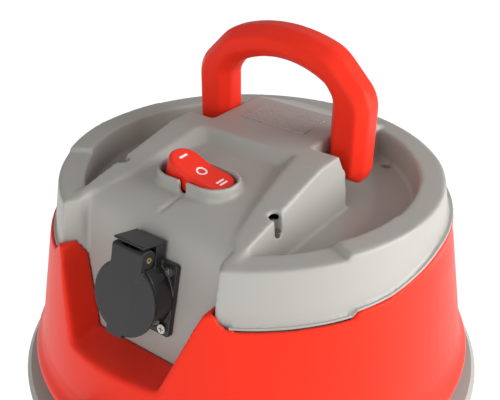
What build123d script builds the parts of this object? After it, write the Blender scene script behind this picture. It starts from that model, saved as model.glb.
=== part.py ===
"""Wet and dry shop vacuum: a round power head with a carry handle, on a caster-mounted tank.

Millimetres. X is the width, the front faces -Y, +Z is up, and the floor is z = 0 under the middle.
Heights of the head are given from the seam between the cap and the skirt, at SEAM above the floor.
"""
import math
import os
from build123d import *

# ---- driving dimensions ----
SEAM = 466.0            # height of the seam between cap and skirt
WALL = 3.0              # moulded wall of cap, skirt and tank
GAP = 0.3               # gap between neighbouring mouldings

# cap, heights from the seam
CAP_R = 135.0           # outer radius at the seam
RIM_R, RIM_Z = 130.0, 27.5        # outer top edge of the rim
RIM_IN_R, RIM_IN_Z = 113.5, 28.5  # inner top edge of the rim
TRAY_R, TRAY_Z = 112.0, 4.0       # recessed tray inside the rim
FRONT_DROP = 2.7        # the rim's front sector is lower by this
FRONT_SECTOR = 61.0     # half angle of that sector
RIM_BACK_Z = 23.0       # the rim slopes down to this at the very back
CAP_FOOT = -22.0        # the cap's wall reaches down inside the skirt
HUMP_Z = 44.3           # top of the hump
HUMP_HALF = 61.0        # half width of its wide front part, at the top
HUMP_SLOPE_Y = -12.0    # the top falls away forward of this
HUMP_BACK_Y = 9.0       # rear end of the wide part
SPINE_HALF = 41.5       # half width of the narrow rear part
SPINE_BACK_Y = 62.0     # its top slopes down to the rim behind this
ARM_FRONT_Z = 28.0      # top of the hump's arms where they meet the rim
DECK_FRONT_Z = 27.0     # the walls round the deck start to lean out at this height
DECK_BACK_Y, DECK_BACK_Z = -13.0, 36.0    # rear edge of the recessed switch deck
BEND_Y, BEND_Z = -97.0, 27.0              # bend from deck to socket panel
PANEL_Y, PANEL_Z = -107.3, -13.0          # a point on the panel, at the notch's top
PANEL_FOOT_Z = -57.0                      # lower edge of the panel in the notch
PANEL_TILT = math.degrees(math.atan2(BEND_Y - PANEL_Y, BEND_Z - PANEL_Z))

# skirt
SKIRT_TOP_R = 138.3
SKIRT_FOOT_R = 156.0
LIP_R = 162.6           # rolled bead round the lower lip
LIP_Z = -105.0
LIP_FOOT_Z = -112.0
SEAM_FRONT_Z = -9.5     # the seam runs lower at the front
NOTCH_TOP, NOTCH_FOOT = 52.5, 35.0        # half widths of the socket notch at the panel
NOTCH_DRAFT = 0.02      # the notch widens outward by this much per millimetre

# socket, in the plane of the panel
SOCKET_Z = -17.5
FLANGE = 48.0
FLANGE_T = 4.0
SCREW_PITCH = 38.0
BARREL_R, BARREL_H = 23.4, 18.0
WELL_R, WELL_DEPTH = 19.5, 17.5
LID_R, LID_T = 24.2, 4.0
LID_Y = -1.5            # the lid hangs a little below the barrel's centre
PIN_Y, PIN_Z, PIN_R = 27.0, 16.5, 1.9
HINGE_HALF = 12.2
KNUCKLE_R = 5.9

# switch
SWITCH_X, SWITCH_Y = -3.0, -53.0
ROCKER_L, ROCKER_W = 49.0, 23.6
ROCKER_PIVOT_Z = 31.0
ROCKER_TOP = 9.5        # height of its middle over the pivot
ROCKER_RISE = 7.0       # each half of the top rises outward at this angle
ROCKER_TILT = 16.0
COLLAR_L, COLLAR_W, COLLAR_Z = 60.0, 32.0, 38.5
COLLAR_WALL = 2.5

# handle
HANDLE_Y = 37.7
HANDLE_DEPTH = 28.0
HANDLE_CHAMFER = 8.0
HANDLE_IN, HANDLE_OUT = 42.0, 70.0
HANDLE_FOOT_Z = 16.0
HANDLE_TOP_Z = 112.0
HANDLE_ARCH_Z = 90.0

# tank, absolute heights
TANK_FOOT_Z, TANK_TOP_Z = 62.0, 349.0
TANK_FOOT_R, TANK_TOP_R = 146.0, 154.0
FLANGE_R, FLANGE_Z = 172.0, 344.0
TANK_ROUND = 14.0
INLET_Z = 262.0
INLET_BORE_R, INLET_OUT_Y = 19.0, -171.0
LATCH_W = 58.0

# casters
CASTER_AT = 112.0       # swivel axes at this x and y
WHEEL_R, WHEEL_W = 20.0, 18.0
TRAIL = 15.0
BASE_R = 140.0

# motor, absolute heights
FAN_Z0, FAN_Z1, FAN_R = 364.0, 408.0, 72.0
STATOR_R, STATOR_Z0, STATOR_Z1 = 45.0, 420.0, 456.0
ARMATURE_R = 24.0
SHAFT_R = 4.0
SHAFT_Z0, SHAFT_Z1 = 366.0, 497.0
BEARING_LOW_Z, BEARING_TOP_Z = 409.0, 482.0
BEARING_R, BEARING_H = 11.0, 7.0

# filter and float, absolute heights
PLATE_Z = 356.0         # underside of the head's base plate
CAGE_R, CAGE_FOOT_Z = 42.0, 262.0
FILTER_R, FILTER_IN = 66.0, 43.5
BALL_R = 19.0


# ---- helpers ----
def turned(points):
    """A solid of revolution about Z from an outline of (radius, height) points."""
    outline = Plane.XZ * Polyline(*points, close=True)
    return revolve(make_face(outline), Axis.Z, 360)


def ring(outer, inner, z0, z1):
    """A tube about Z."""
    return Pos(0, 0, (z0 + z1) / 2) * (Cylinder(outer, z1 - z0) - Cylinder(inner, z1 - z0 + 1))


def rod(radius, z0, z1):
    """A cylinder about Z."""
    return Pos(0, 0, (z0 + z1) / 2) * Cylinder(radius, z1 - z0)


def side_prism(points, half):
    """An outline of (y, z) points carried across the width, from -half to half in x."""
    return extrude(make_face(Plane.YZ * Polyline(*points, close=True)), half, both=True)


def front_prism(points, y0, y1):
    """An outline of (x, z) points carried from y0 to y1."""
    face = make_face(Plane.XZ * Polyline(*points, close=True))
    return Pos(0, (y0 + y1) / 2, 0) * extrude(face, (y1 - y0) / 2, both=True)


def plan_loft(low, z0, high, z1):
    """A tapered block between two plan outlines of (x, y) points."""
    faces = [Pos(0, 0, z) * make_face(Polyline(*pts, close=True)) for pts, z in ((low, z0), (high, z1))]
    return loft(faces)


def mirrored(points):
    """A half outline of points with x > 0, closed by its mirror image."""
    return points + [(-x, y) for x, y in reversed(points)]


def stadium(length, width, z0, z1):
    """An upright prism with round ends along X."""
    return Pos(0, 0, z0) * extrude(SlotOverall(length, width).face(), z1 - z0)


def spots(points):
    return [Pos(x, y, 0) for x, y in points]


def group(shapes):
    """Separate solids kept side by side in one node."""
    solids = []
    for shape in shapes:
        solids.extend(shape.solids())
    return Compound(children=solids)


def export(name, shape):
    export_step(shape, f"parts/{name}.step")


def panel_y(z):
    return PANEL_Y + (z - PANEL_Z) * math.tan(math.radians(PANEL_TILT))


def deck_z(y):
    return DECK_BACK_Z + (y - DECK_BACK_Y) * (DECK_BACK_Z - BEND_Z) / (DECK_BACK_Y - BEND_Y)


def arm_z(y):
    return HUMP_Z + (y - HUMP_SLOPE_Y) * (HUMP_Z - ARM_FRONT_Z) / (HUMP_SLOPE_Y + 90.0)


def panel_plane():
    """The socket panel: x across, y up the panel, z outward."""
    tilt = math.radians(PANEL_TILT)
    normal = (0, -math.cos(tilt), math.sin(tilt))
    return Plane(origin=(0, panel_y(SOCKET_Z), SOCKET_Z), x_dir=(1, 0, 0), z_dir=normal)


# ---- head: cap ----
def seam_cutter(lift, height):
    """Everything above the seam line, which is low in front, steps up at the sides and climbs to the rear."""
    line = [(-200, SEAM_FRONT_Z), (-66.5, SEAM_FRONT_Z), (-64.5, -6.3), (-42, -5), (-24, -1.5), (-4, 2), (12, 4.5),
            (200, 4.5)]
    return side_prism([(y, z + lift) for y, z in line] + [(200, height), (-200, height)], 200)


def shoulder_form(grow):
    """The rounded shoulders of the skirt beside the notch, which stand over the seam, grown by grow."""
    top = [(45, -12), (52, -6.5), (57, -2.5), (61, -1), (63.5, -2), (65.5, -6), (68.5, -8.9), (74, -9.9)]
    points = [(45 - grow, -30)] + [(x, z + grow) for x, z in top] + [(74 + grow, -30)]
    half = front_prism(points, -160, -95)
    return half + mirror(half, Plane.YZ)


def rim_form(t):
    """Rim and tray as a filled turned form, inset by t."""
    top = [(0, TRAY_Z - t), (TRAY_R + t, TRAY_Z - t), (RIM_IN_R + t, RIM_IN_Z - t), (RIM_R - t, RIM_Z - t)]
    form = turned(top + [(CAP_R - t, 0), (CAP_R - t, CAP_FOOT - t), (0, CAP_FOOT - t)])
    reach = CAP_R + 10
    angle = math.radians(FRONT_SECTOR) + t / 120
    side = (reach * math.sin(angle), -reach * math.cos(angle))
    wedge = make_face(Polyline((0, 0), side, (reach, -reach), (-reach, -reach), (-side[0], side[1]), close=True))
    low = Pos(0, 0, RIM_Z - FRONT_DROP - t) * extrude(wedge, 20)
    slope = side_prism([(-64, 60), (-64, RIM_Z + 0.7 - t), (RIM_R, RIM_BACK_Z - t), (150, RIM_BACK_Z - 0.5 - t),
                        (150, 60)], 150)
    return form - (low - rod(TRAY_R - 20, -50, 80)) - slope


def hump_form(t):
    """The U-shaped hump with its arms and the narrow part behind it, inset by t."""
    side = [(-140, arm_z(-140) - t), (HUMP_SLOPE_Y, HUMP_Z - t), (HUMP_BACK_Y - t, HUMP_Z - t),
            (HUMP_BACK_Y + 8 - t, 29.5), (HUMP_BACK_Y + 9 - t, CAP_FOOT - t), (-140, CAP_FOOT - t)]
    width = [(HUMP_HALF - t, 60), (HUMP_HALF + 6 - t, 0), (HUMP_HALF + 6 - t, -60)]
    wide = side_prism(side, 100) & front_prism(mirrored(width), -150, 60)
    back = [(0, HUMP_Z - t), (SPINE_BACK_Y, HUMP_Z - t), (RIM_IN_R, RIM_BACK_Z + 0.8 - t), (RIM_IN_R, 0 - t), (0, -t)]
    spine = side_prism(back, SPINE_HALF - t)
    crown = turned([(0, 80), (100, 80), (116, 31 - t), (RIM_R + 1 - t, 16), (CAP_R - t, 0),
                    (CAP_R - t, CAP_FOOT - t), (0, CAP_FOOT - t)])
    return (wide + spine) & crown


def recess_form(t):
    """The room over the switch deck and in front of the panel, grown by t."""
    low = mirrored([(21.5 + t, -17.5 + t), (34 + t, -45), (48 + t, -80), (57.5 + t, -100), (57.5 + t, -107),
                    (80 + t, -145)])
    high = mirrored([(39 + t, -4.5 + t), (51.5 + t, -45), (60 + t, -80), (60.5 + t, -100), (60.5 + t, -107),
                     (82 + t, -145)])
    upper = plan_loft(low, DECK_FRONT_Z, high, DECK_FRONT_Z + 18)
    front = mirrored([(57.5 + t, -70), (57.5 + t, -107), (80 + t, -145)])
    foot = mirrored([(46 + t, -70), (46 + t, -107), (76 + t, -145)])
    lower = plan_loft(foot, -80, front, DECK_FRONT_Z)
    above = Pos(0, 0, DECK_FRONT_Z + 18) * extrude(make_face(Polyline(*high, close=True)), 20)
    foot_y = panel_y(-80)
    line = Polyline((0, DECK_BACK_Z + 1.4 - t), (BEND_Y + t * 0.4, BEND_Z - t), (foot_y + t, -80))
    bent = fillet(line.vertices().sort_by(Axis.Z)[1], 16)
    side = Plane.YZ * Wire(bent.edges().sort_by(Axis.Y) + Polyline((foot_y + t, -80), (-160, -80), (-160, 80),
                                                                  (0, 80), (0, DECK_BACK_Z + 1.4 - t)).edges())
    return (upper + lower + above) & extrude(make_face(side), 90, both=True)


def head_form(t):
    return (rim_form(t) + hump_form(t)) - recess_form(t)


def panel_foot():
    """The lower part of the socket panel, which shows in the skirt's notch."""
    z = PANEL_FOOT_Z - 3
    slab = side_prism([(panel_y(-9), -9), (panel_y(z), z), (panel_y(z) + WALL, z), (panel_y(-9) + WALL, -9)], 70)
    outline = mirrored([(52, -9), (52, PANEL_Z - 0.5), (NOTCH_TOP + 2.5, PANEL_Z - 0.5), (NOTCH_FOOT + 2.5, z)])
    return slab & front_prism(outline, -150, -80)


def collar():
    """The oval guard round the rocker, open at the front."""
    guard = stadium(COLLAR_L, COLLAR_W, 26, COLLAR_Z) - stadium(COLLAR_L - 2 * COLLAR_WALL,
                                                                COLLAR_W - 2 * COLLAR_WALL, 20, 50)
    return Pos(SWITCH_X, SWITCH_Y, 0) * guard


def cap_screw_points():
    """The four screws as (x, y, seat height, counterbore radius): two in the arms, two in the tray."""
    return [(s * x, y, z, r) for s in (-1, 1) for x, y, z, r in ((61.5, -61, 20, 4.0), (58.5, 90, -2, 3.6))]


def parting_bead():
    """A thin bead that stands out of the cap along the seam, over the skirt's top edge."""
    band = ring(137.4, 131, -30, 20) & (seam_cutter(-0.5, 60) - seam_cutter(0.5, 60))
    return band - recess_form(0) - shoulder_form(0.4)


def top_cap():
    """The cap: rim, tray, hump, switch deck, socket panel and the guard round the rocker."""
    outside = head_form(0)
    cap = outside - head_form(WALL)
    cap -= Pos(0, -127, PANEL_Z - 20) * Box(128, 50, 40)
    cap += panel_foot()
    cap += parting_bead()
    cap += collar()
    front = SWITCH_Y - COLLAR_W / 2
    place = Pos(SWITCH_X, SWITCH_Y, 0)
    cap -= place * stadium(COLLAR_L - 2 * COLLAR_WALL, COLLAR_W - 2 * COLLAR_WALL, 10, 60)
    cap -= Pos(SWITCH_X, front + 2, deck_z(front) + 10.2) * Box(5, 8, 20)
    groove = [(front + 1, deck_z(front) - 1.2), (-96, deck_z(-96) - 1.2), (-99, 40), (front + 1, 40)]
    cap -= Pos(SWITCH_X, 0, 0) * side_prism(groove, 1.6) - place * stadium(COLLAR_L, COLLAR_W, 0, 60)
    face = panel_plane()
    cap -= face * Cylinder(BARREL_R - 1, 30)
    for x, y in corner_spots():
        cap -= face * Pos(x, y, 0) * Cylinder(1.6, 20)
    for x, y, seat, radius in cap_screw_points():
        cap += (Pos(x, y, 0) * rod(7.0, -22.7, seat + 8 if y < 0 else 2)) & outside
        cap -= Pos(x, y, 0) * rod(radius, seat, 60)
        cap -= Pos(x, y, 0) * rod(2.3, -30, seat + 1)
    for side in (-1, 1):
        for dy in (-7, 7):
            cap -= Pos(side * 40, HANDLE_Y + dy, 30) * Rot(0, 90, 0) * Cylinder(2.3, 8)
    return cap


def rating_label():
    return Pos(0, 37.2, HUMP_Z + 0.25) * Box(51.6, 27.6, 0.5)


def rounded_at(face, spots_xy, radius):
    """Fillets the corners of a flat face that lie at the given points."""
    near = [v for v in face.vertices() if any(math.hypot(abs(v.X) - x, v.Y - y) < 0.5 for x, y in spots_xy)]
    return fillet(near, radius)


def handle_face():
    """The arch seen from the front, as a flat face in the plane y = 0."""
    outer = [(HANDLE_OUT - 3, HANDLE_FOOT_Z), (HANDLE_OUT, HANDLE_FOOT_Z + 8), (HANDLE_OUT, 77)]
    inner = [(HANDLE_IN + 8, HANDLE_FOOT_Z), (HANDLE_IN, HANDLE_FOOT_Z + 10), (HANDLE_IN, 72)]
    top = ThreePointArc((44, 103), (0, HANDLE_TOP_Z), (-44, 103))
    left = Polyline((-44, 103), *[(-x, z) for x, z in reversed(outer)])
    right = Polyline(*outer, (44, 103))
    under = ThreePointArc((36, 80), (0, HANDLE_ARCH_Z), (-36, 80))
    legs = [Polyline(*[(s * x, z) for x, z in inner], (s * 36, 80)) for s in (-1, 1)]
    feet = [Line((s * outer[0][0], HANDLE_FOOT_Z), (s * inner[0][0], HANDLE_FOOT_Z)) for s in (-1, 1)]
    edges = Curve() + [top, left, right, under, *legs, *feet]
    face = rounded_at(make_face(edges), [(HANDLE_IN, 72), (36, 80)], 9)
    face = rounded_at(face, [(HANDLE_OUT, 77)], 24)
    return rounded_at(face, [(44, 103)], 32)


def handle():
    """The carry handle, an octagonal bar bent into an arch."""
    face = Plane.XZ * handle_face()
    flat = HANDLE_DEPTH / 2 - HANDLE_CHAMFER
    bar = extrude(face, flat, both=True)
    for side in (-1, 1):
        cheek = extrude(Pos(0, side * flat, 0) * face, HANDLE_CHAMFER, dir=(0, side, 0), taper=40)
        bar += cheek
    bar = Pos(0, HANDLE_Y, 0) * bar
    for side in (-1, 1):
        for dy in (-7, 7):
            bar -= Pos(side * 50, HANDLE_Y + dy, 30) * Rot(0, 90, 0) * Cylinder(2.05, 18)
    return bar


def screw(length, head_r=3.8, shank_r=2.0, head_h=2.6):
    """A pan-head screw, its head up, seated at z = 0, with a cross recess."""
    body = rod(shank_r, -length, 0) + rod(head_r, 0, head_h)
    cross = Box(head_r * 1.2, 0.9, 1.6) + Box(0.9, head_r * 1.2, 1.6)
    return body - Pos(0, 0, head_h) * cross


def handle_screws():
    screws = []
    for side in (-1, 1):
        for dy in (-7, 7):
            place = Pos(side * (SPINE_HALF - WALL), HANDLE_Y + dy, 30) * Rot(0, -90 * side, 0)
            screws.append(place * screw(17))
    return group(screws)


def cap_screws():
    screws = []
    for x, y, seat, radius in cap_screw_points():
        screws.append(Pos(x, y, seat) * screw(seat + 26, radius - 0.5))
    return group(screws)


# ---- head: skirt ----
def skirt_profile(t):
    """The skirt's outline from the top edge to the lip, inset by t, as (radius, height) points."""
    points = [(SKIRT_TOP_R, 7), (SKIRT_TOP_R, -4), (141.3, -17), (146.4, -43), (151.3, -68), (155.5, -90)]
    return [(r - t, z) for r, z in points]


def notch_form(grow, y0, y1):
    """The socket notch: a trapezoid that widens outward, grown by grow."""
    outlines = []
    for y in (y0, y1):
        wider = (-106 - y) * NOTCH_DRAFT + grow
        top, foot = NOTCH_TOP + wider, NOTCH_FOOT + wider
        low = PANEL_FOOT_Z - wider
        rise = (top - foot) / (PANEL_Z - PANEL_FOOT_Z)
        high = PANEL_Z + 30
        points = mirrored([(top + rise * 30, high), (foot, low)])
        face = make_face(Plane.XZ * Polyline(*points, close=True))
        outlines.append(Pos(0, y, 0) * face)
    return loft(outlines)


def skirt():
    """The red skirt: a flared ring with a rolled lip and a notch with inner walls at the front."""
    outer = skirt_profile(0) + [(158, -97), (LIP_R, LIP_Z + 1.5), (LIP_R, LIP_Z - 2.5), (160, LIP_FOOT_Z)]
    inner = skirt_profile(WALL) + [(156.5, -100), (157, LIP_FOOT_Z)]
    shell = turned(outer + inner[::-1])
    filled = turned([(0, 7)] + skirt_profile(0) + [(0, -90)])
    walls = notch_form(WALL, -95, -160) & filled
    keep = side_prism([(panel_y(10) - GAP, 10), (panel_y(-80) - GAP, -80), (-170, -80), (-170, 10)], 100)
    skirt_body = shell + (walls & keep) - (notch_form(0, -90, -175) & keep)
    shelf = ring(141, 80, -26, -23) - Pos(0, -110, -25) * Box(128, 80, 20)
    skirt_body += shelf
    for k in range(6):
        a = math.radians(60 * k)
        skirt_body += Pos(146 * math.cos(a), 146 * math.sin(a), 0) * rod(6, LIP_FOOT_Z + 6.3, -72)
        skirt_body -= Pos(146 * math.cos(a), 146 * math.sin(a), 0) * rod(2.05, LIP_FOOT_Z, -88)
    skirt_body -= seam_cutter(-0.8, 60) - shoulder_form(0)
    skirt_body -= head_form(-GAP) & Pos(0, -125, 0) * Box(160, 60, 2 * (GAP - PANEL_Z))
    for side in (-1, 1):
        recess = Pos(0, side * 168, -104) * Box(LATCH_W + 6, 40, 18) - rod(158.6, -120, -90)
        skirt_body -= recess
    window = Pos(0, 150, -55) * Box(90, 40, 40)
    skirt_body -= window
    skirt_body -= gland_place() * Cylinder(8.6, 40)
    for x, y, _, _ in cap_screw_points():
        skirt_body -= Pos(x, y, 0) * rod(2.05, -30, -20)
    return skirt_body


def gland_place():
    """Where the cord enters: high on the rear left, pointing outward."""
    return Rot(0, 0, 130) * Pos(147, 0, -52) * Rot(0, 90, 0)


def cord_gland():
    body = Pos(0, 0, -5) * Cylinder(8.5, 24) + Pos(0, 0, 6.5) * Cylinder(11.5, 3)
    body += Pos(0, 0, -9) * (Cylinder(11, 4))
    return gland_place() * (body - Pos(0, 0, -4) * Cylinder(4.2, 60))


def rear_sector(inset, thick, z0, z1, half_angle):
    """A piece of the skirt's wall line at the rear, inset from it."""
    low, high = (r_at(z) - inset for z in (z0, z1))
    band = turned([(low, z0), (high, z1), (high - thick, z1), (low - thick, z0)])
    reach = 220
    a = math.radians(half_angle)
    face = make_face(Polyline((0, 0), (reach * math.sin(a), reach * math.cos(a)),
                              (-reach * math.sin(a), reach * math.cos(a)), close=True))
    return band & (Pos(0, 0, -150) * extrude(face, 200))


def r_at(z):
    """The skirt's outer radius at a height."""
    points = skirt_profile(0)
    for (r0, z0), (r1, z1) in zip(points, points[1:]):
        if z1 <= z <= z0:
            return r1 + (r0 - r1) * (z - z1) / (z0 - z1)
    return points[-1][0]


def exhaust_grille():
    grille = rear_sector(WALL + 0.7, 2.4, -77, -33, 19.5)
    for k in range(9):
        grille -= Pos(-40 + 10 * k, 145, -55) * Box(5, 60, 34)
    return grille


def exhaust_foam():
    return rear_sector(WALL + 3.6, 9, -76, -34, 18.5)


# ---- socket ----
def in_panel(shape):
    return panel_plane() * shape


def corner_spots():
    return [(x, y) for x in (-SCREW_PITCH / 2, SCREW_PITCH / 2) for y in (-SCREW_PITCH / 2, SCREW_PITCH / 2)]


def socket_body():
    """The panel socket: square flange, round barrel with its well, and the hinge's fixed part."""
    flange = extrude(fillet(Rectangle(FLANGE, FLANGE).vertices(), 2), FLANGE_T)
    body = flange + Pos(0, 0, BARREL_H / 2) * Cylinder(BARREL_R, BARREL_H)
    body += rod(BARREL_R - 1.4, -24, 0)
    around_pin = Pos(0, PIN_Y, PIN_Z) * Rot(0, 90, 0)
    hinge = side_prism([(20, 2), (20, 10.2), (34.3, 10.2), (34.3, 21.8), (35.4, 21.8), (35.9, 21.3), (35.9, 2)],
                       HINGE_HALF)
    body += hinge
    body -= around_pin * Cylinder(KNUCKLE_R + 0.4, 2 * HINGE_HALF + 0.8)
    body += around_pin * Cylinder(3.4, 5) + Pos(0, PIN_Y, 12.5) * Box(5, 6, 7)
    body -= rod(WELL_R, BARREL_H - WELL_DEPTH, 60)
    body -= Pos(0, PIN_Y, PIN_Z) * Rot(0, 90, 0) * Cylinder(PIN_R, 40)
    for x, y in corner_spots():
        body -= Pos(x, y, 0) * rod(1.6, -10, 10)
    for x in (-9.5, 9.5):
        body -= Pos(x, 0, 0) * rod(2.6, -22, 5)
    keys = [Pos(0, s * (WELL_R - 0.8), 8) * Box(5, 3, 15) for s in (-1, 1)]
    return in_panel(body + [k & rod(WELL_R + 0.5, 0, BARREL_H) for k in keys])


def socket_contacts():
    """Two contact sleeves behind the holes and the earth clip's two blades."""
    parts = [Pos(x, 0, 0) * (rod(2.5, -21, -2) - rod(2.0, -20, 0)) for x in (-9.5, 9.5)]
    return group([in_panel(p) for p in parts])


def socket_screws():
    return group([in_panel(Pos(x, y, FLANGE_T) * screw(10, 3.0, 1.55, 1.8)) for x, y in corner_spots()])


def lid_pin():
    """A brass tube pin across the hinge."""
    pin = Cylinder(PIN_R - 0.04, 2 * HINGE_HALF + 1.0) - Cylinder(0.9, 60)
    return in_panel(Pos(0, PIN_Y, PIN_Z) * Rot(0, 90, 0) * pin)


def lid_spring():
    """Two small coils round the pin, each a stack of rings on one leg."""
    coils = []
    for side in (-1, 1):
        coil = Rot(0, 90, 0) * (Cylinder(3.2, 2.4) - Cylinder(2.2, 5))
        leg = Pos(0, -2.7, -2.6) * Box(1.0, 1.0, 4.6)
        coils.append(in_panel(Pos(side * 4.0, PIN_Y, PIN_Z) * (coil + leg)))
    return group(coils)


def socket_lid():
    """The spring lid: a round plate with a raised facet and a pull tab, wrapped over the hinge at the top."""
    z0 = BARREL_H + 0.4
    top = z0 + LID_T
    lid = Pos(0, LID_Y, z0 + LID_T / 2) * Cylinder(LID_R, LID_T)
    lid = chamfer(lid.faces().sort_by(Axis.Z)[-1].edges(), 1.2)
    lid += Pos(-4, LID_Y - LID_R + 0.5, z0 + LID_T / 2) * Box(13, 5, LID_T)
    lid -= Pos(7, 0, top) * Rot(0, 8, 0) * Pos(15, 0, 5) * Box(30, 80, 10)
    around_pin = Pos(0, PIN_Y, PIN_Z) * Rot(0, 90, 0)
    cover = [(14, z0), (14, top), (31, top), (32.4, top - 1.4), (32.4, PIN_Z), (PIN_Y, PIN_Z), (PIN_Y - 3, z0)]
    lid += side_prism(cover, HINGE_HALF) + around_pin * Cylinder(KNUCKLE_R, 2 * HINGE_HALF)
    lid -= around_pin * Cylinder(3.9, 11.2) + Pos(0, 31.7, 12.7) * Box(11.2, 16.6, 15.4)
    lid -= around_pin * Cylinder(PIN_R + 0.02, 60)
    return in_panel(lid)


# ---- switch ----
def rocker_tilted(shape):
    return Pos(SWITCH_X, SWITCH_Y, ROCKER_PIVOT_Z) * Rot(0, ROCKER_TILT, 0) * shape


def rocker_top(x, drop=0.0):
    return ROCKER_TOP + abs(x) * math.tan(math.radians(ROCKER_RISE)) - drop


def rocker_blank():
    """The rocker in its middle position, about its pivot, its two halves rising outward."""
    outline = [(-26, -3), (26, -3), (26, rocker_top(26)), (0, rocker_top(0)), (-26, rocker_top(26))]
    body = stadium(ROCKER_L, ROCKER_W, -2, 16) & front_prism(outline, -20, 20)
    edges = [e for e in body.edges() if e.center().Z > 8 and abs(e.center().X) > 1]
    return chamfer(edges, 1.8)


def rocker_marks_flat(grow, over):
    """A bar, a ring and a double bar, sunk in the rocker's top and following it."""
    drop = 0.5 + grow
    outline = [(-26, rocker_top(26, -over)), (-26, rocker_top(26, drop)), (0, rocker_top(0, drop)),
               (26, rocker_top(26, drop)), (26, rocker_top(26, -over)), (0, rocker_top(0, -over))]
    skin = front_prism(outline, -12, 12)
    bars = [Pos(x, 0, 12) * Box(w + 2 * grow, 7 + 2 * grow, 10) for x, w in ((-16, 1.5), (14.8, 1.3), (17.6, 1.3))]
    circle = Pos(0, 0, 12) * (Cylinder(3.7 + grow, 10) - Cylinder(2.5 - grow, 12))
    return [mark & skin for mark in (*bars, circle)]


def rocker():
    body = rocker_blank() - Pos(0, 0, 0) * Box(16, 12, 9)
    body -= Rot(90, 0, 0) * Cylinder(1.56, 40)
    for mark in rocker_marks_flat(0.04, 2):
        body -= mark
    return rocker_tilted(body)


def rocker_marks():
    return group([rocker_tilted(mark) for mark in rocker_marks_flat(0, 0)])


def switch_body():
    """The switch's black housing under the rocker, with its pivot post and terminals."""
    body = Pos(SWITCH_X, SWITCH_Y, 8) * Box(46, 22, 24)
    body += Pos(SWITCH_X, SWITCH_Y, 25) * Box(4, 9, 12)
    body += Pos(SWITCH_X, SWITCH_Y, ROCKER_PIVOT_Z) * Rot(90, 0, 0) * Cylinder(1.5, 19)
    for x in (-15, 0, 15):
        body += Pos(SWITCH_X + x, SWITCH_Y, -8) * Box(1, 6, 9)
    return body


# ---- control board ----
def control_board():
    board = Pos(105, 0, -22.2) * Box(38, 50, 1.6)
    board += Pos(98, -12, -15.4) * Cylinder(6, 12)
    board += Pos(112, 12, -15.4) * Box(14, 16, 12) + Pos(96, 12, -16.4) * Box(10, 14, 10)
    return board


# ---- motor ----
def fan_housing():
    """The steel can round the suction impeller."""
    can = ring(FAN_R, FAN_R - 2, FAN_Z0, FAN_Z1) + ring(FAN_R - 1, 22, FAN_Z0, FAN_Z0 + 2)
    return can + ring(FAN_R - 1, 12, FAN_Z1 - 2, FAN_Z1)


def motor_mounts():
    """Rubber rings under and round the fan housing."""
    return group([ring(62, 48, 360, FAN_Z0), ring(FAN_R + 6, FAN_R, 378, 392)])


def diffuser():
    plate = ring(FAN_R - 2, 18, 400, 402)
    for k in range(8):
        vane = Pos(46, 0, 404) * Rot(0, 0, 35) * Box(34, 2, 4)
        plate += Rot(0, 0, 45 * k) * vane
    return plate


def impeller():
    """The suction impeller: two discs with swept blades between them, on a hub."""
    wheel = ring(64, SHAFT_R, 395, 397) + ring(64, 24, 370, 371.5) + ring(9, SHAFT_R, 376, 396)
    for k in range(7):
        blade = Pos(40, 0, 383.3) * Rot(0, 0, -32) * Box(44, 1.8, 23.8)
        wheel += Rot(0, 0, k * 360 / 7) * (blade & ring(63.8, 20, 360, 400))
    return wheel


def bearing_bracket():
    """The motor's frame: foot ring, two columns and a cross bridge with the upper bearing seat."""
    foot = ring(56, BEARING_R, FAN_Z1, FAN_Z1 + 3) + ring(15, BEARING_R, FAN_Z1 + 2, FAN_Z1 + 7)
    columns = [Pos(s * 50.5, 0, 449) * Box(5, 16, 82) for s in (-1, 1)]
    bridge = Pos(0, 0, 487) * (Box(106, 16, 5) + Box(16, 70, 5)) + rod(15, BEARING_TOP_Z - 1, 488)
    return foot + columns + bridge - rod(BEARING_R, BEARING_TOP_Z - 2, 489) - rod(6, 480, 495)


def bearings():
    """Two ball bearings, each a pair of races closed by a shield."""
    races = []
    for z in (BEARING_LOW_Z, BEARING_TOP_Z):
        race = ring(BEARING_R, SHAFT_R + 0.05, z, z + BEARING_H) - ring(9, 6.2, z + BEARING_H - 0.8, z + 20)
        races.append(race - ring(9, 6.2, z - 20, z + 0.8))
    return group(races)


def sector(outer, inner, z0, z1, half_angle, towards):
    """A sector of a ring, centred on an angle from +X."""
    a = math.radians(half_angle)
    reach = outer * 2
    face = make_face(Polyline((0, 0), (reach * math.cos(a), -reach * math.sin(a)),
                              (reach * math.cos(a), reach * math.sin(a)), close=True))
    wedge = Pos(0, 0, z0 - 1) * extrude(face, z1 - z0 + 2)
    return Rot(0, 0, towards) * (ring(outer, inner, z0, z1) & wedge)


def stator_core():
    """The laminated field core with two pole shoes."""
    core = rod(STATOR_R, STATOR_Z0, STATOR_Z1) & Pos(0, 0, 438) * Box(86, 90, 60)
    core -= rod(ARMATURE_R + 0.8, 400, 480)
    for towards in (90, 270):
        core -= sector(36, 20, STATOR_Z0 - 1, STATOR_Z1 + 1, 52, towards)
    return core


def field_windings():
    """Two copper coils, one round each pole."""
    coil = ring(35.6, 27, STATOR_Z0 - 7, STATOR_Z1 + 5)
    for towards in (0, 180):
        coil -= sector(40, 20, STATOR_Z0 - 0.3, STATOR_Z1 + 0.3, 42, towards)
    return coil - Pos(0, 0, 438) * Box(2, 90, 80)


def armature():
    body = ring(ARMATURE_R, SHAFT_R, STATOR_Z0 - 1, STATOR_Z1 + 1)
    for k in range(12):
        body -= Rot(0, 0, 30 * k) * Pos(ARMATURE_R, 0, 438) * Box(5, 2.4, 60)
    return body


def commutator():
    body = ring(13, SHAFT_R, 461, 477)
    for k in range(24):
        body -= Rot(0, 0, 15 * k) * Pos(13, 0, 469) * Box(1.6, 0.5, 30)
    return body + ring(9, SHAFT_R, STATOR_Z1 + 1, 461)


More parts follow.
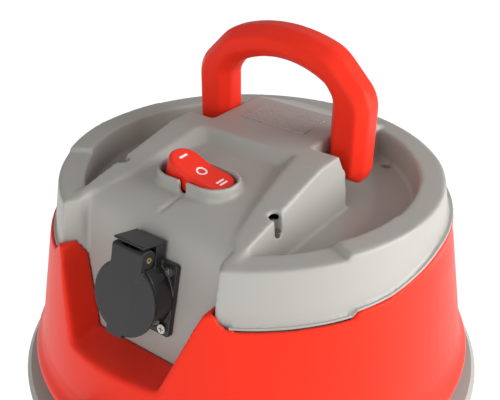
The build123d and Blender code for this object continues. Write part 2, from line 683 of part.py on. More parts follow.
def brush_holders():
    holders = []
    for side in (-1, 1):
        box = Pos(0, side * 25, 471.6) * Box(12, 20, 13) - Pos(0, side * 25, 469) * Box(6.4, 30, 6.4)
        holders.append(box + Pos(0, side * 28, 481.2) * Box(12, 12, 6.6))
    return group(holders)


def carbon_brushes():
    return group([Pos(0, side * 22.3, 469) * Box(6.2, 18, 6.2) for side in (-1, 1)])


def motor_shaft():
    return rod(SHAFT_R, SHAFT_Z0, SHAFT_Z1)


def cooling_fan():
    fan = ring(8, SHAFT_R, 490.5, 495)
    fan += ring(27, SHAFT_R, 490.5, 491.7)
    for k in range(9):
        fan += Rot(0, 0, 40 * k) * Pos(17, 0, 493.2) * Rot(0, 0, 20) * Box(17, 1.4, 3.6)
    return fan


# ---- underside of the head ----
def base_plate():
    plate = ring(155, 30, PLATE_Z, PLATE_Z + 4) + ring(FAN_R + 8.8, FAN_R + 6, PLATE_Z + 3, PLATE_Z + 30)
    for k in range(6):
        a = math.radians(60 * k)
        plate -= Pos(146 * math.cos(a), 146 * math.sin(a), 0) * rod(2.3, 350, 365)
    for k in range(3):
        plate -= Rot(0, 0, 120 * k + 30) * Pos(52, 0, PLATE_Z) * Cylinder(2.05, 20)
    return plate


def base_screws():
    screws = []
    for k in range(6):
        a = math.radians(60 * k)
        place = Pos(146 * math.cos(a), 146 * math.sin(a), PLATE_Z) * Rot(180, 0, 0)
        screws.append(place * screw(18, 3.8, 2.0, 2.4))
    return group(screws)


def head_gasket():
    return ring(154.6, 150.8, TANK_TOP_Z + 0.4, PLATE_Z)


def float_cage():
    """The slotted cage under the motor inlet that holds the float ball."""
    cage = ring(CAGE_R, CAGE_R - 2.5, CAGE_FOOT_Z, PLATE_Z) + ring(60, 15, PLATE_Z - 3, PLATE_Z)
    cage += rod(CAGE_R, CAGE_FOOT_Z, CAGE_FOOT_Z + 3)
    for k in range(8):
        cage -= Rot(0, 0, 22.5 + 45 * k) * Pos(CAGE_R, 0, 312) * Box(20, 18, 64)
        cage -= Rot(0, 0, 45 * k) * Pos(27, 0, CAGE_FOOT_Z) * Cylinder(4, 20)
    for k in range(3):
        cage -= Rot(0, 0, 120 * k + 30) * Pos(52, 0, PLATE_Z) * Cylinder(2.3, 20)
    return cage


def float_ball():
    centre = CAGE_FOOT_Z + 3 + BALL_R + 0.3
    return Pos(0, 0, centre) * (Sphere(BALL_R) - Sphere(BALL_R - 1.5))


def filter_sleeve():
    """The pleated cartridge round the cage."""
    pleats = 36
    points = []
    for k in range(2 * pleats):
        r = FILTER_R - 2 if k % 2 else FILTER_R - 9
        a = math.pi * k / pleats
        points.append((r * math.cos(a), r * math.sin(a)))
    body = extrude(make_face(Polyline(*points, close=True)), 80)
    return Pos(0, 0, 268) * (body - rod(FILTER_IN + 5, -1, 90))


def filter_ring():
    """The cartridge's two end rings, which grip the cage."""
    return group([ring(FILTER_R, FILTER_IN, z, z + 4) for z in (264, 348)])


# ---- tank ----
def tank():
    """The dust and water tank, with latch ears and a flat boss for the hose inlet."""
    t = WALL
    outline = [(0, TANK_FOOT_Z), (TANK_FOOT_R - TANK_ROUND, TANK_FOOT_Z), (TANK_FOOT_R, TANK_FOOT_Z + TANK_ROUND),
               (149.2, 170), (147.8, 174), (147.9, 182), (149.5, 186), (TANK_TOP_R, 330), (158, 336),
               (FLANGE_R - 3, 336), (FLANGE_R, 338), (FLANGE_R, FLANGE_Z - 3), (FLANGE_R - 3, FLANGE_Z),
               (TANK_TOP_R, FLANGE_Z), (TANK_TOP_R, TANK_TOP_Z), (TANK_TOP_R - t, TANK_TOP_Z), (TANK_TOP_R - t, 330),
               (149.5 - t, 186), (147.9 - t, 182), (147.8 - t, 174), (149.2 - t, 170),
               (TANK_FOOT_R - t, TANK_FOOT_Z + TANK_ROUND + 1),
               (TANK_FOOT_R - TANK_ROUND - 1, TANK_FOOT_Z + t), (0, TANK_FOOT_Z + t)]
    body = turned(outline)
    boss = Pos(0, -152, INLET_Z) * Rot(90, 0, 0) * Cylinder(36, 16)
    body += boss - rod(149.5, 200, 320)
    body -= Pos(0, -150, INLET_Z) * Rot(90, 0, 0) * Cylinder(23.3, 60)
    for x in (-21, 21):
        for z in (-21, 21):
            body -= Pos(x, -158, INLET_Z + z) * Rot(90, 0, 0) * Cylinder(1.55, 16)
    for side in (-1, 1):
        for x in (-30.5, 30.5):
            ear = Pos(x, side * 165.5, 330) * Box(5, 31, 14)
            body += ear - rod(150.5, 300, 350)
        body -= Pos(0, side * 176, 330) * Rot(0, 90, 0) * Cylinder(2.0, 80)
    for x, y in base_screw_spots():
        body -= Pos(x, y, 0) * rod(2.05, 60, 64)
    return body


def hose_inlet():
    """The hose connector: a flange on the boss and a round bore through the wall."""
    place = Pos(0, 0, INLET_Z) * Rot(90, 0, 0)
    flange = place * Pos(0, 0, 162) * extrude(fillet(Rectangle(56, 56).vertices(), 8), 4, both=True)
    tube = place * rod(23, 136, -INLET_OUT_Y)
    body = flange + tube - place * rod(INLET_BORE_R, 100, 200)
    body = body - place * rod(80, 100, 160) + (place * ring(23, INLET_BORE_R, 136, 161))
    for x in (-21, 21):
        for z in (-21, 21):
            body -= Pos(x, -160, INLET_Z + z) * Rot(90, 0, 0) * Cylinder(1.8, 30)
    return body


def inlet_screws():
    screws = []
    for x in (-21, 21):
        for z in (-21, 21):
            screws.append(Pos(x, -166, INLET_Z + z) * Rot(90, 0, 0) * screw(12, 3.4, 1.5, 2.2))
    return group(screws)


def latch(side):
    """A draw latch: a lever on a pin at the tank's flange, with a nose over the skirt's lip."""
    outline = [(174.6, 330), (174.6, 362.5), (172.5, 364.6), (159.4, 364.6), (159.4, 371), (172, 373.5),
               (178.4, 368), (181, 352), (181, 326)]
    lever = front_prism(outline, -LATCH_W / 2 + 2, LATCH_W / 2 - 2)
    lever += Pos(176, 0, 330) * Rot(90, 0, 0) * Cylinder(5, LATCH_W - 4)
    for k in range(3):
        lever -= Pos(181.6, 0, 338 + 6 * k) * Rot(90, 0, 0) * Cylinder(1.4, 40)
    lever -= Pos(176, 0, 330) * Rot(90, 0, 0) * Cylinder(2.05, 80)
    return Rot(0, 0, 90 * side) * lever


def latch_pins():
    return group([Pos(0, s * 176, 330) * Rot(0, 90, 0) * Cylinder(2.0, 66) for s in (-1, 1)])


# ---- caster base and casters ----
def base_screw_spots():
    return [(x, y) for x in (-78, 78) for y in (-78, 78)]


def caster_spots():
    return [(sx * CASTER_AT, sy * CASTER_AT) for sx in (-1, 1) for sy in (-1, 1)]


def caster_base():
    """The chassis plate under the tank, with a thicker ring and a pod over each caster."""
    base = ring(BASE_R, 84, 53, TANK_FOOT_Z) + rod(86, 57, TANK_FOOT_Z)
    for x, y in caster_spots():
        base += Pos(x, y, 0) * rod(24, 47, TANK_FOOT_Z)
    for x, y in caster_spots():
        base -= Pos(x, y, 0) * rod(5.05, 40, 60)
    for x, y in base_screw_spots():
        base -= Pos(x, y, 0) * rod(2.3, 40, 80)
    return base


def caster_base_screws():
    return group([Pos(x, y, 53) * Rot(180, 0, 0) * screw(10.5, 3.8, 2.0, 2.4) for x, y in base_screw_spots()])


def caster_place(x, y):
    """At the swivel axis, with local +X pointing away from the tank's middle."""
    return Pos(x, y, 0) * Rot(0, 0, math.degrees(math.atan2(y, x)))


def caster_fork():
    crown = rod(14, 42.2, 46) + rod(5, 46, 59.5)
    bridge = Pos(6, 0, 44.1) * Box(20, 2 * (WHEEL_W / 2 + 3.6), 3.8)
    fork = crown + bridge
    for side in (-1, 1):
        y = side * (WHEEL_W / 2 + 2.1)
        arm = [(-6, 46), (16, 46), (TRAIL + 6, WHEEL_R + 4), (TRAIL + 4, WHEEL_R - 5), (TRAIL - 4, WHEEL_R - 5)]
        fork += front_prism(arm, y - 1.5, y + 1.5)
    return fork - Pos(TRAIL, 0, WHEEL_R) * Rot(90, 0, 0) * Cylinder(3.0, 60)


def caster_wheel():
    """A wheel with a rounded tread and a dished hub."""
    r, w = WHEEL_R, WHEEL_W / 2
    outline = [(3.06, -w), (7, -w), (8, -w + 3), (13, -w + 3), (14, -w), (r - 3, -w), (r, -w + 3), (r, w - 3),
               (r - 3, w), (14, w), (13, w - 3), (8, w - 3), (7, w), (3.06, w)]
    return Pos(TRAIL, 0, r) * Rot(90, 0, 0) * turned(outline)


def caster_axle():
    return Pos(TRAIL, 0, WHEEL_R) * Rot(90, 0, 0) * Cylinder(3.0, WHEEL_W + 8)


def build_head():
    lift = Pos(0, 0, SEAM)
    pieces = {
        "top_cap": top_cap, "rating_label": rating_label, "handle": handle, "handle_screws": handle_screws,
        "cap_screws": cap_screws, "skirt": skirt, "cord_gland": cord_gland, "exhaust_grille": exhaust_grille,
        "exhaust_foam": exhaust_foam, "socket_body": socket_body, "socket_contacts": socket_contacts,
        "socket_screws": socket_screws, "lid_pin": lid_pin, "lid_spring": lid_spring,
        "socket_lid": socket_lid, "rocker": rocker, "rocker_marks": rocker_marks,
        "switch_body": switch_body, "control_board": control_board,
    }
    for name, make in pieces.items():
        export(name, lift * make())


def build_rest():
    pieces = {
        "fan_housing": fan_housing, "motor_mounts": motor_mounts, "diffuser": diffuser, "impeller": impeller,
        "bearing_bracket": bearing_bracket, "bearings": bearings, "stator_core": stator_core,
        "field_windings": field_windings, "armature": armature, "commutator": commutator,
        "brush_holders": brush_holders, "carbon_brushes": carbon_brushes, "motor_shaft": motor_shaft,
        "cooling_fan": cooling_fan, "base_plate": base_plate, "base_screws": base_screws,
        "head_gasket": head_gasket, "float_cage": float_cage, "float_ball": float_ball,
        "filter_sleeve": filter_sleeve, "filter_ring": filter_ring, "tank": tank, "hose_inlet": hose_inlet,
        "inlet_screws": inlet_screws, "latch_pins": latch_pins, "caster_base": caster_base,
        "caster_base_screws": caster_base_screws,
    }
    for name, make in pieces.items():
        export(name, make())
    for side, name in ((1, "back"), (-1, "front")):
        export(f"latch_{name}", latch(side))
    corner = {(-1, -1): "front_left", (1, -1): "front_right", (-1, 1): "rear_left", (1, 1): "rear_right"}
    for x, y in caster_spots():
        name = corner[(int(math.copysign(1, x)), int(math.copysign(1, y)))]
        place = caster_place(x, y)
        export(f"caster_fork_{name}", place * caster_fork())
        export(f"caster_wheel_{name}", place * caster_wheel())
        export(f"caster_axle_{name}", place * caster_axle())


if __name__ == "__main__":
    os.makedirs("parts", exist_ok=True)
    build_head()
    build_rest()
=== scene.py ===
"""Wet and dry shop vacuum: softened mouldings, finishes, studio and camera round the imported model."""

import math

import bmesh
import bpy
import numpy as np
from bpy.props import FloatProperty, FloatVectorProperty, IntProperty, PointerProperty
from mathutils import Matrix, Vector


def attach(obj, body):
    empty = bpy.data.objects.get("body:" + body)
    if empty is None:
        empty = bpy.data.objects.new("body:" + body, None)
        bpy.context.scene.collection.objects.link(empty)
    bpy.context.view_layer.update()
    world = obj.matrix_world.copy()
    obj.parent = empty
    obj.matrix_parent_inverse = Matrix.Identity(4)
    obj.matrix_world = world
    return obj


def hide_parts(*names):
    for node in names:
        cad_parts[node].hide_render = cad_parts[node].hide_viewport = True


bl_info = {
    "name": "Shop Vacuum",
    "version": (1, 0, 0),
    "blender": (4, 5, 0),
    "location": "3D View > Sidebar > Shop Vacuum",
    "description": "Softened mouldings, plastic finishes and a studio for the shop vacuum",
    "category": "Object",
}

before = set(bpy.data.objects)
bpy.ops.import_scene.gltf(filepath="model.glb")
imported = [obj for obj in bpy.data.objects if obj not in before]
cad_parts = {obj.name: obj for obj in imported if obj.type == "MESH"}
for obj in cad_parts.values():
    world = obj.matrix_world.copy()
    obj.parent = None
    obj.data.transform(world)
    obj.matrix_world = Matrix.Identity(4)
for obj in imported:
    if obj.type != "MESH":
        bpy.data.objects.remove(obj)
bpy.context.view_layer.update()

MM = 0.001
SEAM = 0.466  # height of the joint line between the grey cap and the red skirt

# Places in millimetres, as the mouldings are measured.
SEAM_LINE = ((-66.5, -9.5), (-64.5, -6.3), (-42, -5), (-24, -1.5), (-4, 2), (12, 4.5))  # y, height over SEAM
SWITCH_X, SWITCH_Y = -3, -53  # middle of the guard round the rocker
SCREW_HOLES = ((61.5, -61, 6), (58.5, 90, 5.5))  # x, y and reach of the screw holes on each side
BEAD_ROOT, BEAD_TIP = 134.2, 137.8  # radii of the bead along the seam
BEAD_HALF = 0.75
BEAD_EASE, BEAD_FLAT = 137.3, 0.3  # where the bead's corners are cut: radius and half height
BEAD_START = math.radians(31)  # bearing where the bead leaves the notch
BEAD_STEPS = 420

SHARE_LEVELS = 50  # steps of weight in the softening group
DUST_COLOUR = (0.52, 0.5, 0.47)
STUDIO_WHITE = (1.0, 1.0, 1.0, 1)


# ---- settings ----
class ShopVacMoulding(bpy.types.PropertyGroup):
    """How finely the mouldings are rebuilt and how far their edges are softened."""

    cap_grid: FloatProperty(name="Cap grid", description="Size of the grid the cap is rebuilt on",
                            default=0.0013, min=0.0008, max=0.004, unit="LENGTH")
    cap_rounds: IntProperty(name="Cap rounds", description="Softening passes on the cap",
                            default=50, min=0)
    skirt_grid: FloatProperty(name="Skirt grid", description="Size of the grid the skirt is rebuilt on",
                              default=0.0015, min=0.0008, max=0.004, unit="LENGTH")
    skirt_rounds: IntProperty(name="Skirt rounds", description="Softening passes on the skirt",
                              default=30, min=0)
    handle_grid: FloatProperty(name="Handle grid", description="Size of the grid the handle is rebuilt on",
                               default=0.0011, min=0.0006, max=0.004, unit="LENGTH")
    handle_rounds: IntProperty(name="Handle rounds", description="Softening passes on the handle",
                               default=14, min=0)
    small_grid: FloatProperty(name="Small grid",
                              description="Size of the grid for the rocker, the lid and the socket",
                              default=0.00045, min=0.0002, max=0.002, unit="LENGTH")


class ShopVacFinish(bpy.types.PropertyGroup):
    """Colours and surface detail of the plastics and metals."""

    red: FloatVectorProperty(name="Red plastic", description="Skirt, handle and rocker", subtype="COLOR",
                             default=(0.86, 0.03, 0.013), min=0, max=1)
    grey: FloatVectorProperty(name="Grey plastic", description="Cap and tank", subtype="COLOR",
                              default=(0.40, 0.39, 0.36), min=0, max=1)
    black: FloatVectorProperty(name="Black plastic", description="Socket, lid, latches", subtype="COLOR",
                               default=(0.018, 0.018, 0.019), min=0, max=1)
    white: FloatVectorProperty(name="Marks", description="Inlaid marks on the rocker", subtype="COLOR",
                               default=(0.86, 0.83, 0.82), min=0, max=1)
    grain: FloatProperty(name="Grain size", description="Size of the spark-eroded grain in the mould",
                         default=0.0009, min=0.0002, max=0.005, unit="LENGTH")
    wear: FloatProperty(name="Edge wear", description="How much paler the touched edges are",
                        default=0.12, min=0, max=1, subtype="FACTOR")
    dust: FloatProperty(name="Dust", description="How much fine dust lies on upward faces",
                        default=0.06, min=0, max=1, subtype="FACTOR")


class ShopVacStage(bpy.types.PropertyGroup):
    """Camera, lights and floor."""

    azimuth: FloatProperty(name="Azimuth", description="Camera bearing from the front",
                           default=math.radians(36.9), subtype="ANGLE")
    elevation: FloatProperty(name="Elevation", description="Camera angle above the horizon",
                             default=math.radians(31.5), subtype="ANGLE")
    distance: FloatProperty(name="Distance", description="Camera to the aimed point",
                            default=0.5348, unit="LENGTH")
    lens: FloatProperty(name="Lens", description="Focal length in millimetres", default=53.24, min=10)
    key: FloatProperty(name="Key light", description="Power of the large side light", default=17.5, min=0,
                       unit="POWER")
    fill: FloatProperty(name="Fill light", description="Power of the front light", default=11.0, min=0,
                        unit="POWER")


# ---- shader groups ----
def group_tree(name, inputs, outputs):
    """A new shader group with float, colour or vector sockets; returns its tree and its two end nodes."""
    tree = bpy.data.node_groups.new(name, "ShaderNodeTree")
    for label, kind, value in inputs:
        socket = tree.interface.new_socket(name=label, in_out="INPUT", socket_type=kind)
        if value is not None:
            socket.default_value = value
    for label, kind in outputs:
        tree.interface.new_socket(name=label, in_out="OUTPUT", socket_type=kind)
    return tree, tree.nodes.new("NodeGroupInput"), tree.nodes.new("NodeGroupOutput")


def add(tree, kind, **values):
    """A node with its plain settings set by name."""
    node = tree.nodes.new("ShaderNode" + kind)
    for key, value in values.items():
        setattr(node, key, value)
    return node


def maths(tree, operation, a, b=None, clamp=False):
    """One Math node; a and b are sockets or numbers."""
    node = add(tree, "Math", operation=operation, use_clamp=clamp)
    for socket, value in zip(node.inputs, (a, b)):
        if value is None:
            continue
        if isinstance(value, (int, float)):
            socket.default_value = value
        else:
            tree.links.new(value, socket)
    return node.outputs[0]


def grain_group():
    """Fine moulded grain: a height, a small change of roughness and a drift of tone."""
    tree, start, end = group_tree(
        "Moulded grain",
        [("Vector", "NodeSocketVector", None), ("Size", "NodeSocketFloat", 0.0009),
         ("Blotch", "NodeSocketFloat", 0.03)],
        [("Height", "NodeSocketFloat"), ("Spread", "NodeSocketFloat"), ("Tone", "NodeSocketFloat")],
    )
    scale = maths(tree, "DIVIDE", 1.0, start.outputs["Size"])
    fine = add(tree, "TexNoise")
    fine.inputs["Detail"].default_value = 3.0
    fine.inputs["Roughness"].default_value = 0.6
    tree.links.new(start.outputs["Vector"], fine.inputs["Vector"])
    tree.links.new(scale, fine.inputs["Scale"])
    cells = add(tree, "TexVoronoi")
    tree.links.new(start.outputs["Vector"], cells.inputs["Vector"])
    tree.links.new(scale, cells.inputs["Scale"])
    lumps = maths(tree, "MULTIPLY", cells.outputs["Distance"], 0.5)
    tree.links.new(maths(tree, "ADD", fine.outputs["Fac"], lumps), end.inputs["Height"])
    broad = add(tree, "TexNoise")
    broad.inputs["Scale"].default_value = 14.0
    broad.inputs["Detail"].default_value = 4.0
    tree.links.new(start.outputs["Vector"], broad.inputs["Vector"])
    drift = maths(tree, "SUBTRACT", broad.outputs["Fac"], 0.5)
    tree.links.new(maths(tree, "MULTIPLY", drift, 0.2), end.inputs["Spread"])
    tree.links.new(maths(tree, "MULTIPLY", drift, start.outputs["Blotch"]), end.inputs["Tone"])
    return tree


def wear_group():
    """A mask of rubbed edges: where a rounded normal leaves the true one, broken up by noise."""
    tree, start, end = group_tree(
        "Edge wear",
        [("Vector", "NodeSocketVector", None), ("Radius", "NodeSocketFloat", 0.0012),
         ("Amount", "NodeSocketFloat", 0.3)],
        [("Mask", "NodeSocketFloat")],
    )
    rounded = add(tree, "Bevel", samples=4)
    tree.links.new(start.outputs["Radius"], rounded.inputs["Radius"])
    plain = add(tree, "NewGeometry")
    dot = add(tree, "VectorMath", operation="DOT_PRODUCT")
    tree.links.new(rounded.outputs["Normal"], dot.inputs[0])
    tree.links.new(plain.outputs["Normal"], dot.inputs[1])
    edge = maths(tree, "MULTIPLY", maths(tree, "SUBTRACT", 1.0, dot.outputs["Value"]), 6.0, clamp=True)
    noise = add(tree, "TexNoise")
    noise.inputs["Scale"].default_value = 160.0
    noise.inputs["Detail"].default_value = 5.0
    tree.links.new(start.outputs["Vector"], noise.inputs["Vector"])
    broken = maths(tree, "MULTIPLY", maths(tree, "SUBTRACT", noise.outputs["Fac"], 0.35), 3.0, clamp=True)
    mask = maths(tree, "MULTIPLY", maths(tree, "MULTIPLY", edge, broken), start.outputs["Amount"])
    tree.links.new(mask, end.inputs["Mask"])
    return tree


def dust_group():
    """A mask of fine dust on upward faces, thicker in corners."""
    tree, start, end = group_tree(
        "Fine dust",
        [("Vector", "NodeSocketVector", None), ("Amount", "NodeSocketFloat", 0.1)],
        [("Mask", "NodeSocketFloat")],
    )
    plain = add(tree, "NewGeometry")
    split = add(tree, "SeparateXYZ")
    tree.links.new(plain.outputs["Normal"], split.inputs[0])
    up = maths(tree, "MULTIPLY", maths(tree, "SUBTRACT", split.outputs["Z"], 0.4), 1.6, clamp=True)
    noise = add(tree, "TexNoise")
    noise.inputs["Scale"].default_value = 40.0
    noise.inputs["Detail"].default_value = 8.0
    noise.inputs["Roughness"].default_value = 0.7
    tree.links.new(start.outputs["Vector"], noise.inputs["Vector"])
    patch = maths(tree, "MULTIPLY", maths(tree, "SUBTRACT", noise.outputs["Fac"], 0.3), 1.8, clamp=True)
    corner = add(tree, "AmbientOcclusion", samples=4)
    corner.inputs["Distance"].default_value = 0.02
    hollow = maths(tree, "SUBTRACT", 1.3, corner.outputs["AO"], clamp=True)
    mask = maths(tree, "MULTIPLY", maths(tree, "MULTIPLY", up, patch), maths(tree, "ADD", hollow, 0.4))
    tree.links.new(maths(tree, "MULTIPLY", mask, start.outputs["Amount"]), end.inputs["Mask"])
    return tree


def place(tree, group, **values):
    """A group in a material, fed with object coordinates and its own values."""
    node = tree.nodes.new("ShaderNodeGroup")
    node.node_tree = bpy.data.node_groups[group]
    for key, value in values.items():
        node.inputs[key].default_value = value
    coords = tree.nodes.get("Place") or add(tree, "TexCoord", name="Place")
    tree.links.new(coords.outputs["Object"], node.inputs["Vector"])
    return node


def blend_colour(tree, base, over, mask):
    """A Mix node from base to over by a mask socket; base is a socket or a colour."""
    node = add(tree, "Mix", data_type="RGBA")
    if isinstance(base, (tuple, list)):
        node.inputs["A"].default_value = (*base, 1)
    else:
        tree.links.new(base, node.inputs["A"])
    node.inputs["B"].default_value = (*over, 1)
    tree.links.new(mask, node.inputs["Factor"])
    return node.outputs["Result"]


def blank(name):
    """A new material; returns it with its tree and its shader."""
    material = bpy.data.materials.new(name)
    material.use_nodes = True
    tree = material.node_tree
    return material, tree, tree.nodes["Principled BSDF"]


def raise_surface(tree, shader, height, strength, distance):
    """A height socket drives the shader's normal through a Bump node."""
    lump = add(tree, "Bump")
    lump.inputs["Strength"].default_value = strength
    lump.inputs["Distance"].default_value = distance
    tree.links.new(height, lump.inputs["Height"])
    tree.links.new(lump.outputs["Normal"], shader.inputs["Normal"])


def varied(tree, colour, tone):
    """A colour whose brightness follows a tone socket."""
    bright = add(tree, "HueSaturation")
    bright.inputs["Color"].default_value = (*colour, 1)
    tree.links.new(maths(tree, "ADD", tone, 1.0), bright.inputs["Value"])
    return bright.outputs["Color"]


def plastic(name, colour, rough=0.42, grain=0.0009, bump=0.05, wear=0.12, dust=0.06, coat=0.0, specular=0.5,
            blotch=0.05, tint=(1.0, 1.0, 1.0)):
    """Moulded plastic: grain, faint tone drift, paler edges and a little dust."""
    material, tree, shader = blank(name)
    grains = place(tree, "Moulded grain", Size=grain, Blotch=blotch)
    worn = place(tree, "Edge wear", Amount=wear)
    dusty = place(tree, "Fine dust", Amount=dust)
    pale = tuple(min(1.0, c * 1.25 + 0.06) for c in colour)
    base = blend_colour(tree, varied(tree, colour, grains.outputs["Tone"]), pale, worn.outputs["Mask"])
    base = blend_colour(tree, base, DUST_COLOUR, dusty.outputs["Mask"])
    tree.links.new(base, shader.inputs["Base Color"])
    tree.links.new(maths(tree, "ADD", grains.outputs["Spread"], rough), shader.inputs["Roughness"])
    raise_surface(tree, shader, grains.outputs["Height"], strength=bump, distance=grain * 0.5)
    shader.inputs["Coat Weight"].default_value = coat
    shader.inputs["Coat Roughness"].default_value = 0.25
    shader.inputs["Specular IOR Level"].default_value = specular
    shader.inputs["Specular Tint"].default_value = (*tint, 1)
    return material


def label_film(name, paper, ink):
    """A thin printed film: faint rows of blocks in two tones, with a slight gloss."""
    material, tree, shader = blank(name)
    coords = add(tree, "TexCoord", name="Place")
    rows = add(tree, "TexBrick", offset=0.37)
    rows.inputs["Scale"].default_value = 90.0
    rows.inputs["Mortar Size"].default_value = 0.06
    rows.inputs["Color1"].default_value = (*paper, 1)
    rows.inputs["Color2"].default_value = (*ink, 1)
    rows.inputs["Mortar"].default_value = (*paper, 1)
    tree.links.new(coords.outputs["Object"], rows.inputs["Vector"])
    tree.links.new(rows.outputs["Color"], shader.inputs["Base Color"])
    grains = place(tree, "Moulded grain", Size=0.004, Blotch=0.1)
    tree.links.new(maths(tree, "ADD", grains.outputs["Spread"], 0.3), shader.inputs["Roughness"])
    raise_surface(tree, shader, grains.outputs["Height"], strength=0.1, distance=0.0005)
    return material


def metal(name, colour, rough=0.3, streak=(1.0, 1.0, 1.0), wear=0.1):
    """Bare or plated metal with drawn streaks or cast grain."""
    material, tree, shader = blank(name)
    shader.inputs["Metallic"].default_value = 1.0
    worn = place(tree, "Edge wear", Amount=wear, Radius=0.0004)
    coords = tree.nodes["Place"]
    mapping = add(tree, "Mapping")
    mapping.inputs["Scale"].default_value = streak
    tree.links.new(coords.outputs["Object"], mapping.inputs["Vector"])
    noise = add(tree, "TexNoise")
    noise.inputs["Scale"].default_value = 900.0
    noise.inputs["Detail"].default_value = 4.0
    tree.links.new(mapping.outputs["Vector"], noise.inputs["Vector"])
    dark = tuple(c * 0.78 for c in colour)
    base = blend_colour(tree, colour, dark, noise.outputs["Fac"])
    base = blend_colour(tree, base, tuple(min(1.0, c * 1.2) for c in colour), worn.outputs["Mask"])
    tree.links.new(base, shader.inputs["Base Color"])
    drift = maths(tree, "MULTIPLY", maths(tree, "SUBTRACT", noise.outputs["Fac"], 0.5), 0.25)
    tree.links.new(maths(tree, "ADD", drift, rough), shader.inputs["Roughness"])
    raise_surface(tree, shader, noise.outputs["Fac"], strength=0.12, distance=0.0001)
    return material


def fleece(name, colour, size=0.0012, depth=0.6):
    """Matted fibres or open foam."""
    material, tree, shader = blank(name)
    shader.inputs["Sheen Weight"].default_value = 0.3
    fibres = place(tree, "Moulded grain", Size=size, Blotch=0.4)
    tree.links.new(varied(tree, colour, fibres.outputs["Tone"]), shader.inputs["Base Color"])
    tree.links.new(maths(tree, "ADD", fibres.outputs["Spread"], 0.9), shader.inputs["Roughness"])
    raise_surface(tree, shader, fibres.outputs["Height"], strength=depth, distance=size * 0.5)
    return material


# ---- mesh tools ----
def smoothstep(low, high, value):
    """0 below low, 1 above high, smooth between; high may be the lower one."""
    t = np.clip((value - low) / (high - low), 0.0, 1.0)
    return t * t * (3 - 2 * t)


def coordinates(mesh):
    """A mesh's points as an array, in metres."""
    flat = np.empty(len(mesh.vertices) * 3)
    mesh.vertices.foreach_get("co", flat)
    return flat.reshape(-1, 3)


def run_modifier(piece, kind, **values):
    """Adds one modifier, sets it and applies it."""
    modifier = piece.modifiers.new(kind.title(), kind)
    for key, value in values.items():
        setattr(modifier, key, value)
    bpy.context.view_layer.objects.active = piece
    with bpy.context.temp_override(object=piece, active_object=piece, selected_objects=[piece]):
        bpy.ops.object.modifier_apply(modifier=modifier.name)


def new_piece(name, mesh):
    """A mesh object in the scene."""
    piece = bpy.data.objects.new(name, mesh)
    bpy.context.scene.collection.objects.link(piece)
    return piece


def share_group(piece, hold):
    """A vertex group whose weights are each point's share of the softening; returns its name."""
    points = coordinates(piece.data) / MM
    points[:, 2] -= SEAM / MM
    shares = np.clip(hold(points[:, 0], points[:, 1], points[:, 2]), 0.0, 1.0)
    levels = np.round(shares * SHARE_LEVELS).astype(int)
    group = piece.vertex_groups.new(name="soften")
    for level in range(1, SHARE_LEVELS + 1):
        chosen = np.nonzero(levels == level)[0]
        if len(chosen):
            group.add(chosen.tolist(), level / SHARE_LEVELS, "REPLACE")
    return group.name


def softened(name, node, grid, rounds, hold=None):
    """A node rebuilt on an even grid and softened; hold gives each point's share of the softening."""
    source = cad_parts[node]
    mesh = source.data.copy()
    mesh.name = name
    piece = new_piece(name, mesh)
    shaper = bmesh.new()
    shaper.from_mesh(mesh)
    bmesh.ops.remove_doubles(shaper, verts=shaper.verts, dist=1e-6)
    shaper.to_mesh(mesh)
    shaper.free()
    run_modifier(piece, "REMESH", mode="VOXEL", voxel_size=grid)
    settings = {"factor": 0.5, "iterations": rounds}
    if hold is not None:
        settings["vertex_group"] = share_group(piece, hold)
    if rounds:
        run_modifier(piece, "SMOOTH", **settings)
    if hold is not None:
        piece.vertex_groups.clear()
    piece.data.shade_smooth()
    return piece


def settle(piece, node, body, material):
    """The piece stands for a CAD node, rides on its body and takes one material."""
    piece.data.materials.clear()
    piece.data.materials.append(material)
    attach(piece, body)
    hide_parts(*([node] if isinstance(node, str) else node))


def dress(nodes, material):
    """Carried-over CAD nodes take a material."""
    for node in nodes:
        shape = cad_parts[node]
        shape.data.materials.clear()
        shape.data.materials.append(material)


# ---- the mouldings ----
def seam_height(y):
    """Height of the joint between cap and skirt over SEAM: low in front, a step at the sides."""
    places, heights = zip(*SEAM_LINE)
    return np.interp(y, places, heights)


def cap_shares(x, y, z):
    """How far each point of the cap is softened."""
    r = np.hypot(x, y)
    side = np.abs(x)
    share = np.full_like(x, 0.045)
    # the rim's two top edges
    share = np.maximum(share, 0.12 * smoothstep(106, 110, r) * smoothstep(8, 16, z))
    # the room over the deck and its walls
    inside = smoothstep(70, 56, side) * smoothstep(6, -2, y) * smoothstep(-150, -140, y)
    edge = inside * smoothstep(22, 30, z + 0.02 * y) * smoothstep(50, 47, z)
    share = np.maximum(share, 0.24 * edge)
    front = smoothstep(58, 50, side) * smoothstep(-84, -96, y) * smoothstep(-8, 2, z)
    share = np.maximum(share, 0.6 * front)
    # front ends of the arms where they roll on to the rim
    arms = smoothstep(50, 56, side) * smoothstep(80, 74, side)
    arms *= smoothstep(-88, -98, y) * smoothstep(8, 16, z)
    share = np.maximum(share, 0.3 * arms)
    # the guard round the rocker, its groove and the screw holes stay sharp
    guard = np.hypot(np.maximum(np.abs(x - SWITCH_X) - 14, 0), y - SWITCH_Y)
    share *= 1 - 0.9 * smoothstep(20, 17.5, guard) * smoothstep(26, 30, z)
    groove = smoothstep(5, 3, np.abs(x - SWITCH_X)) * smoothstep(-60, -62, y) * smoothstep(-104, -100, y)
    share *= 1 - 0.95 * groove * smoothstep(10, 20, z)
    for hole_x, hole_y, reach in SCREW_HOLES:
        near = smoothstep(reach + 3, reach, np.hypot(side - hole_x, y - hole_y))
        share *= 1 - 0.6 * near
    # the joint line stays crisp
    share *= 0.3 + 0.7 * smoothstep(1, 4, z - seam_height(y))
    return share


